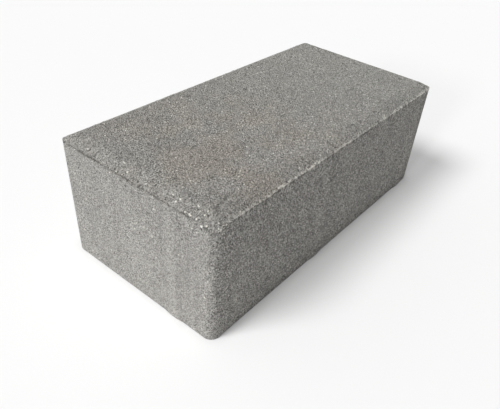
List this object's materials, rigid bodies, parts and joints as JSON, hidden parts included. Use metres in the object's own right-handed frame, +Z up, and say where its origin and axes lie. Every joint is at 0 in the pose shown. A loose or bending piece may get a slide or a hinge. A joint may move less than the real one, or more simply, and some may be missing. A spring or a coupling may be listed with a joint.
{
  "type": "concrete paving block",
  "caption": "Rectangular dry-cast concrete paving block with chamfered top edges, rounded upright corners and shallow spacer ridges on its sides.",
  "frame": {"origin": "middle of the underside", "axes": "+X along the block's length, +Y along its width, +Z up through the chamfered top face"},
  "size_m": [0.2012, 0.1012, 0.07],
  "materials": {
    "concrete": "matte, dry-cast grey concrete with fine sandy grain"
  },
  "bodies": {
    "root": {"paving_block": "concrete"}
  },
  "joints": []
}
